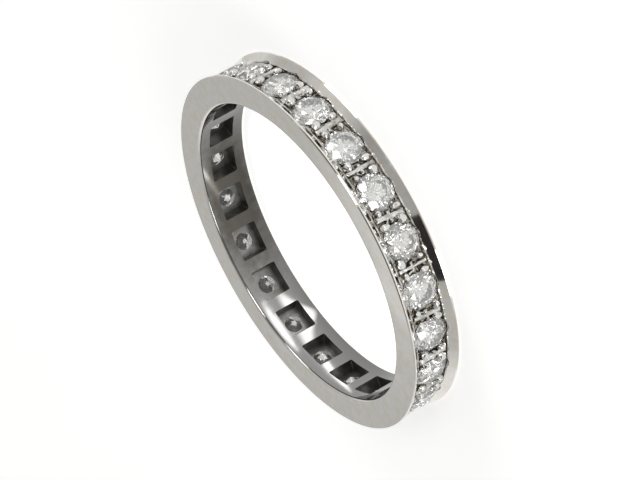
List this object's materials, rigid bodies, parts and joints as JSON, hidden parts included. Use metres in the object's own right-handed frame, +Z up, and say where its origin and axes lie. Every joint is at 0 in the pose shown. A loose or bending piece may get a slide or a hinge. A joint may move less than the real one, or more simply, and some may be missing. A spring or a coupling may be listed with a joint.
{
  "type": "eternity ring",
  "caption": "Full eternity ring: a polished white metal band with round brilliant stones grain-set all the way round in a bright-cut channel, with open square windows behind them.",
  "frame": {"origin": "centre of the finger hole on the side face that the ring rests on", "axes": "+Z up along the finger hole; stone 1 faces -Y and the numbers go round anticlockwise seen from above"},
  "size_m": [0.0203, 0.0202, 0.0029],
  "materials": {
    "white_metal": "polished white precious metal, slightly warm grey, with fine wear scratches",
    "stone": "colourless faceted stone, high lustre"
  },
  "bodies": {
    "root": {"band": "white_metal", "stone_01": "stone", "stone_02": "stone", "stone_03": "stone", "stone_04": "stone", "stone_05": "stone", "stone_06": "stone", "stone_07": "stone", "stone_08": "stone", "stone_09": "stone", "stone_10": "stone", "stone_11": "stone", "stone_12": "stone", "stone_13": "stone", "stone_14": "stone", "stone_15": "stone", "stone_16": "stone", "stone_17": "stone", "stone_18": "stone", "stone_19": "stone", "stone_20": "stone", "stone_21": "stone", "stone_22": "stone"}
  },
  "joints": []
}
